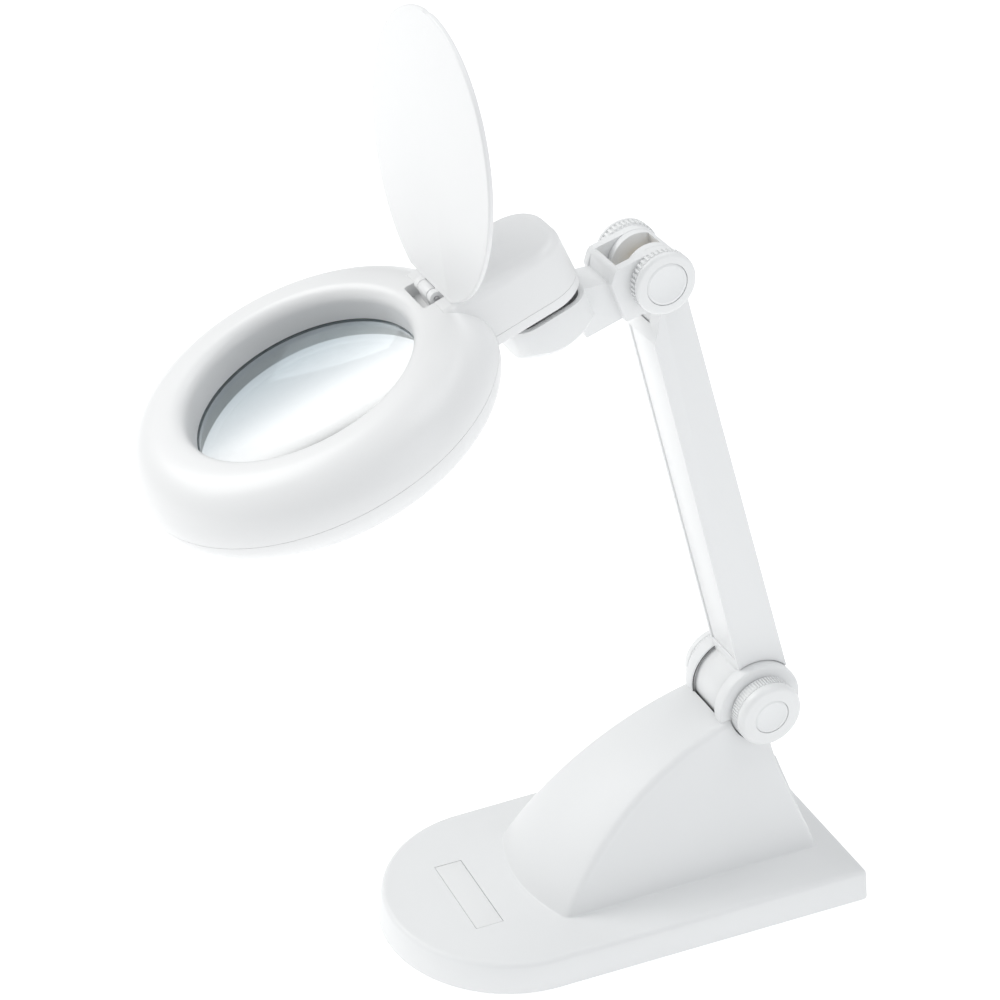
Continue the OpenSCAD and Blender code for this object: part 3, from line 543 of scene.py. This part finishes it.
shell = carve(shell, rearShape(2.2, 2.6, 5.0), rearShape(5.5, 12.0, 5.0))
inletHole = post(inlet["radius"], -inlet["deep"], inlet["proud"], (0, 0), 48)
bmesh.ops.rotate(inletHole, verts=inletHole.verts[:], cent=(0, 0, 0), matrix=Matrix.Rotation(-pi / 2, 3, "X"))
bmesh.ops.translate(inletHole, verts=inletHole.verts[:], vec=(0, inlet["y"], inlet["z"]))
shell = carve(shell, inletHole)
tidyMesh(shell)
for face in shell.faces:                                  # painted shade: the barrel slot's inner faces take the black finish so the slot reads dark
    c = face.calc_center_median()
    fromAxis = sqrt((c.y - axisYZ[0]) ** 2 + (c.z - axisYZ[1]) ** 2)
    if abs(c.x) < earIn - 0.1 and abs(fromAxis - pedestalSizes["barrelGap"]) < 0.4:
        face.material_index = 1
finishPiece(shell, "baseShell", worldPlace, [shellWhite, blackPlasticAndSlotShade], "base", ["base_shell"],
            30)

plateHalf, plateGap = plateSizes["half"] - plateSizes["gap"], plateSizes["gap"]
namePlate = block((-plateHalf, plateSizes["front"] + plateGap, footTop - plateSizes["deep"]),
                  (plateHalf, plateSizes["rear"] - plateGap, footTop - plateSizes["below"]))
roundEdges(namePlate, plateSizes["round"], 2, 60, lambda e: min(v.co.z for v in e.verts) > footTop - 0.4)
finishPiece(namePlate, "namePlate", worldPlace, plateWhite, "base", ["name_plate"])
softened("pedestal_rear_cover", "rearCover", shellWhite, "base", 0.5)
softened("switch_rocker", "rocker", rockerBlack, "rocker", 0.4)
softened("base_feet", "footPads", footRubber, "base", 0.35)
print("base ready")


# Knobs.
lowerKnob = {"radius": 16.3, "length": 11.0, "capRadius": 8.7, "ribs": 72, "ribDeep": 0.5, "ribFrom": 0.9,
             "ribTo": 6.2, "round": 2.6, "bore": 6.0, "seat": 18.3}
upperKnob = {"radius": 14.0, "length": 7.1, "capRadius": 9.4, "ribs": 40, "ribDeep": 0.8, "ribFrom": 0.5,
             "ribTo": 4.2, "round": 1.6, "bore": 5.5, "seat": 13.7}
knobCap = {"deep": 1.4, "gap": 0.15, "rimLow": 0.25, "rimHigh": 0.02, "rimWide": 1.2, "dishFrom": 1.9,
           "dish": 0.3, "centre": 0.02}


def makeKnob(s, side, axis, name, body, nodes):
    r, l = s["radius"], s["length"]
    grip = r - s["ribDeep"]
    cap = s["capRadius"] + knobCap["gap"]
    seatFloor = l - knobCap["deep"]
    section = [(s["bore"], 0.0), (grip - 0.5, 0.0), (grip, 0.5), (grip, s["ribFrom"]), (grip, s["ribTo"]),
               (r, s["ribTo"] + 0.5), (r, l), (cap, l), (cap, seatFloor), (s["bore"], seatFloor)]
    bm = spinSection(section, {6: s["round"]}, s["ribs"] * 4, 5)
    band = []
    for f in bm.faces:
        c = f.calc_center_median()
        if s["ribFrom"] < c.z < s["ribTo"] and c.xy.length > grip - 0.3:
            step = int((Vector((1, 0)).angle_signed(c.xy) % (2 * pi)) / (2 * pi) * s["ribs"] * 4 + 0.001)
            if step % 4 < 2:
                band.append(f)
    grown = bmesh.ops.extrude_face_region(bm, geom=band)["geom"]
    bmesh.ops.delete(bm, geom=band, context="FACES_ONLY")
    for v in (g for g in grown if isinstance(g, bmesh.types.BMVert)):
        v.co.xy *= (r + 0.02) / v.co.xy.length
        v.co.z += 0.25 if v.co.z < 2 else -0.02
    bmesh.ops.recalc_face_normals(bm, faces=bm.faces[:])
    lay = Matrix.Rotation(side * pi / 2, 4, "Y")
    place = worldPlace @ Matrix.Translation(axis) @ shift(side * s["seat"], 0, 0) @ lay
    finishPiece(bm, name, place, knobWhite, body, nodes[:1], 28)
    edge, middle, face = s["capRadius"], knobCap["centre"], l - knobCap["dish"]
    disc = spinSection([(middle, seatFloor), (edge, seatFloor), (edge, l - knobCap["rimLow"]),
                        (edge - knobCap["rimWide"], l - knobCap["rimHigh"]),
                        (edge - knobCap["dishFrom"], face), (middle, face)], {2: 0.2}, 96, 2)
    bmesh.ops.contextual_create(disc, geom=[e for e in disc.edges if len(e.link_faces) == 1])
    bmesh.ops.remove_doubles(disc, verts=disc.verts[:], dist=0.05)
    bmesh.ops.recalc_face_normals(disc, faces=disc.faces[:])
    finishPiece(disc, name + "Cap", place, capWhite, body, nodes[1:2], 28)


for level, sizes, axis in (("lower", lowerKnob, lowerAxis), ("upper", upperKnob, upperAxis)):
    for hand, side in (("right", 1), ("left", -1)):
        node = f"{level}_knob_{hand}"
        makeKnob(sizes, side, axis, f"{level}Knob{hand.title()}", f"{level}_knob_{hand[0]}",
                 [node, node + "_cap"])
print("knobs ready")


# Arm and neck.
softened("arm_channel", "armChannel", shellWhite, "arm", 0.9, 3)
armReach = (upperAxis - lowerAxis).length
bridgeSizes = {"front": -5.6, "frontTop": -2.6, "rear": 7.2, "low": 34.0, "step": 25.0, "high": 17.0,
               "half": 11.4, "round": 0.6}


def makeBridge(s):                                        # filler that closes the head end of the channel
    low, step, high = (armReach - s[key] for key in ("low", "step", "high"))
    outline = [(s["front"], low), (s["rear"], low), (s["rear"], high), (s["frontTop"], high),
               (s["front"], step)]
    bm = sideSlab(outline, -s["half"], s["half"])
    roundEdges(bm, s["round"], 2, 40)
    return bm


finishPiece(makeBridge(bridgeSizes), "armBridge", armPlace, shellWhite, "arm", ())
softened("arm_front_strip", "armFrontStrip", stripWhite, "arm", 0.5, 2)
softened("neck_bracket", "neckBracket", shellWhite, "neck", 0.7, 3)
print("arm and neck ready")


# Head: ring shells, tail, lens.
ring = {"opening": 50.0, "outer": 80.0, "crown": 11.0, "parting": -11.0, "bottom": -25.5, "wall": 2.2,
        "pocket": 51.3, "window": 66.5, "steps": 200, "innerRound": 6.5, "outerRound": 20.9, "lowRound": 13.4,
        "lensSeat": -4.0, "seam": 0.15, "bossRadius": 3.3}
hingePocket = {"half": 10.5, "front": 57.0, "rear": 69.0, "floor": 5.0, "wall": 2.0, "round": 1.0, "lip": 0.5}
headScrews = {"ring": [(0, -72.5), (72.5, 0), (-72.5, 0)], "tail": [(14, 110.5), (-14, 110.5)]}
tail = {"half": 22.6, "end": 122.2, "top": 10.9, "bottom": -16.0, "corner": 17.0, "edge": 4.6}


def tailBlock(inset, start, low, high, topRound=0.0, lowRound=0.0, topDraft=0.0):
    half = tail["half"] - inset
    end = tail["end"] - inset
    bm = planSlab([(-half, start), (half, start), (half, end), (-half, end)], low, high)
    corners = [e for e in bm.edges
               if abs(e.verts[0].co.z - e.verts[1].co.z) > 0.5 and e.verts[0].co.y > end - 0.1]
    bmesh.ops.bevel(bm, geom=corners, offset=tail["corner"] - inset, offset_type="OFFSET", segments=10,
                    profile=0.5, affect="EDGES", material=-1, clamp_overlap=False)
    if topDraft > 0:
        for v in bm.verts:
            if v.co.z > high - 0.1:
                v.co.x *= 1 - topDraft / half
                v.co.y = start + (v.co.y - start) * (1 - topDraft / (end - start))
    if topRound > 0:
        roundEdges(bm, topRound, 5, 30, lambda e: min(v.co.z for v in e.verts) > high - 0.1
                   and max(v.co.y for v in e.verts) > start + 0.1)
    if lowRound > 0:
        roundEdges(bm, lowRound, 3, 30, lambda e: max(v.co.z for v in e.verts) < low + 0.1
                   and max(v.co.y for v in e.verts) > start + 0.1)
    return bm


def makeTopShell():
    o, w, out, crown, parting = (ring[key] for key in ("opening", "wall", "outer", "crown", "parting"))
    belowParting = parting - 3
    outer = spinSection([(o, parting), (o, crown), (out, crown), (out, parting)],
                        {1: ring["innerRound"], 2: ring["outerRound"]}, ring["steps"], 12)
    body = weld(outer, tailBlock(0, 62.0, parting, tail["top"], tail["edge"], 0, 0.8))
    inner = ring["pocket"] + w
    cavity = spinSection([(inner, belowParting), (inner, crown - w),
                          (out - w, crown - w), (out - w, belowParting)],
                         {1: 5.0, 2: 18.6}, ring["steps"], 8)
    body = carve(body, cavity, tailBlock(w, 62.0, belowParting, tail["top"] - w))
    p = hingePocket
    body = weld(body, block((-p["half"] - p["wall"], p["front"] - p["wall"], p["floor"] - w),
                            (p["half"] + p["wall"], p["rear"] + 2.5, 9.0)))
    pocket = block((-p["half"], p["front"], p["floor"]), (p["half"], p["rear"], 25.0))
    roundEdges(pocket, p["round"], 3, 60, lambda e: abs(e.verts[0].co.z - e.verts[1].co.z) > 5)
    body = carve(body, pocket, post(ring["pocket"], -30.0, ring["lensSeat"], (0, 0), ring["steps"]))
    tidyMesh(body)

    def onPocketLip(edge):
        return all(v.co.z > 6 and abs(v.co.x) < p["half"] + 0.1
                   and p["front"] - 0.1 < v.co.y < p["rear"] + 0.1 for v in edge.verts)

    roundEdges(body, p["lip"], 2, 60, onPocketLip)
    return body


def makeBottomShell():
    w, out, window = ring["wall"], ring["outer"], ring["window"]
    top, low = ring["parting"] - ring["seam"], ring["bottom"] + 0.1
    outer = spinSection([(window, top), (window, low), (out, low), (out, top)],
                        {2: ring["lowRound"]}, ring["steps"], 12)
    body = weld(outer, tailBlock(0, 70.5, tail["bottom"], top, 0, 1.2))
    above = ring["parting"] + 3
    cavity = spinSection([(window - 3, above), (window - 3, ring["bottom"] + w + 0.1),
                          (out - w, ring["bottom"] + w + 0.1), (out - w, above)],
                         {2: 11.4}, ring["steps"], 8)
    body = carve(body, cavity, tailBlock(w, 62.0, tail["bottom"] + w, 0.0),
                 post(3.06, -40, 0, (0, headPlan["swivelAlong"]), 48))
    bossTop = ring["parting"] - 0.2
    for spots, bossLow, headSeat in ((headScrews["ring"], -19.5, -17.5), (headScrews["tail"], -15.0, -13.9)):
        for spot in spots:
            body = weld(body, post(ring["bossRadius"], bossLow, bossTop, spot, 32))
            body = carve(body, post(2.6, -40, headSeat, spot, 32), post(1.5, -40, 0, spot, 24))
    return tidyMesh(body)


finishPiece(makeTopShell(), "headTopShell", headPlace, headWhite, "head", ["head_top_shell"],
            30)
finishPiece(makeBottomShell(), "headBottomShell", headPlace, headWhite, "head", ["head_bottom_shell"],
            30)
softened("hinge_block", "hingeBlock", headWhite, "head", 0.35)
print("head shells ready")

lensSizes = {"radius": 51.0, "edge": 3.0, "faceRadius": 347.0, "middle": -5.7, "rings": 22}


def makeLens(s):
    def faceHeight(r):
        face = s["faceRadius"]
        return s["edge"] / 2 + sqrt(face ** 2 - r * r) - sqrt(face ** 2 - s["radius"] ** 2)
    radii = [s["radius"] * i / s["rings"] for i in range(s["rings"] + 1)]
    upper = [(r, s["middle"] + faceHeight(r)) for r in radii[1:]]
    lower = [(r, s["middle"] - faceHeight(r)) for r in reversed(radii[1:])]
    bm = bmesh.new()
    verts = [bm.verts.new((r, 0, h)) for r, h in [(0, s["middle"] + faceHeight(0))] + upper + lower
             + [(0, s["middle"] - faceHeight(0))]]
    for a, b in zip(verts, verts[1:]):
        bm.edges.new((a, b))
    bmesh.ops.spin(bm, geom=bm.verts[:] + bm.edges[:], cent=(0, 0, 0), axis=(0, 0, 1), angle=2 * pi,
                   steps=160, use_merge=True)
    bmesh.ops.remove_doubles(bm, verts=bm.verts[:], dist=0.001)
    bmesh.ops.recalc_face_normals(bm, faces=bm.faces[:])
    for face in bm.faces:
        if abs(face.normal.z) < 0.5:
            face.material_index = 1
    return bm


finishPiece(makeLens(lensSizes), "lens", headPlace, [lensGlass, lensRim], "head", ["lens"], 30)
print("lens ready")

# Lid.
lidSizes = {"radius": 59.5, "thick": 2.4, "middle": 12.5, "centre": 5.3, "hinge": 64.0, "hingeUp": 10.5,
            "rim": 2.2, "dish": 0.5, "edgeRound": 0.8, "cutBack": 3.4, "notch": 7.4, "notchOut": 6.6,
            "lugFrom": 5.0, "lugTo": 8.5, "lugRadius": 2.9, "pinHole": 1.26}


def makeLid(s):
    low, high = s["middle"] - s["thick"] / 2, s["middle"] + s["thick"] / 2
    r = s["radius"]
    dishTop, rimIn = high - s["dish"], r - s["rim"]
    bm = spinSection([(0.01, low), (r, low), (r, high), (rimIn, high),
                      (rimIn - 0.6, dishTop), (0.01, dishTop)],
                     {1: s["edgeRound"], 2: s["edgeRound"]}, 220, 4)
    bmesh.ops.remove_doubles(bm, verts=bm.verts[:], dist=0.03)
    bmesh.ops.translate(bm, verts=bm.verts[:], vec=(0, s["centre"], 0))
    bm = carve(bm, block((-60, s["hinge"] - s["cutBack"], 0), (60, s["hinge"] + 20, 30)))
    bm = carve(bm, post(s["notch"], low - 3, high + 3, (0, s["centre"] - r - s["notchOut"]), 64))
    for side in (1, -1):
        x0, x1 = sorted((side * s["lugFrom"], side * s["lugTo"]))
        lug = drum(s["lugRadius"], x0, x1, (s["hinge"], s["hingeUp"]), 40)
        arm = block((x0, s["hinge"] - 6, low), (x1, s["hinge"], high - 0.4))
        bm = weld(bm, weld(lug, arm))
    bm = carve(bm, drum(s["pinHole"], -12, 12, (s["hinge"], s["hingeUp"]), 32))
    tidyMesh(bm)
    return bm


finishPiece(makeLid(lidSizes), "lid", lidPlace, lidWhite, "lid", ["lid"], 30)
print("lid ready")


# Carried-over nodes get their finishes.
nodeSkins = {
    "base_bottom_plate": greyPlastic, "ballast_weight": castIron, "base_screws": screwSteel,
    "rear_cover_screws": screwSteel, "dc_inlet": blackPlasticAndSlotShade, "switch_housing": blackPlasticAndSlotShade,
    "lower_axle": boltSteel, "lower_knob_right_insert": bushBrass, "lower_knob_left_insert": bushBrass,
    "lower_bushes": bushBrass, "lower_friction_washers": fibreWasher, "tongue_spacer": bushBrass,
    "upper_friction_washers": fibreWasher, "arm_lead": wireSleeve, "upper_axle": boltSteel,
    "swivel_spindle": boltSteel, "swivel_washer": capWhite, "swivel_nut": boltSteel,
    "upper_knob_right_insert": bushBrass, "upper_knob_left_insert": bushBrass,
    "lens_retaining_ring": headWhite, "diffuser_ring": diffuserTray, "led_board": boardWhite,
    "leds": emitterYellow, "driver_board": boardGreen, "head_screws": screwSteel, "hinge_pin": boltSteel,
}
for node, skin in nodeSkins.items():
    cadNodes[node].data.materials.clear()
    cadNodes[node].data.materials.append(skin)
print("node finishes ready")

# Floor.
floorMesh = bmesh.new()
bmesh.ops.create_grid(floorMesh, x_segments=1, y_segments=1, size=6.0)
floor = asObject(floorMesh, "floor")
floorMesh.free()
floorSkin, floorTree, floorShader = newSkin("paleFloor")
paper = objectNoise(floorTree, 3.0, 2.0)
floorTree.links.new(blendColours(floorTree, paper.outputs["Fac"], (0.90, 0.90, 0.90), (0.915, 0.915, 0.915)),
                    floorShader.inputs["Base Color"])
floorShader.inputs["Roughness"].default_value = 0.9
floorShader.inputs["Emission Color"].default_value = (1, 1, 1, 1)
floorShader.inputs["Emission Strength"].default_value = studio["floorGlow"]
floor.data.materials.append(floorSkin)

print("scene complete")
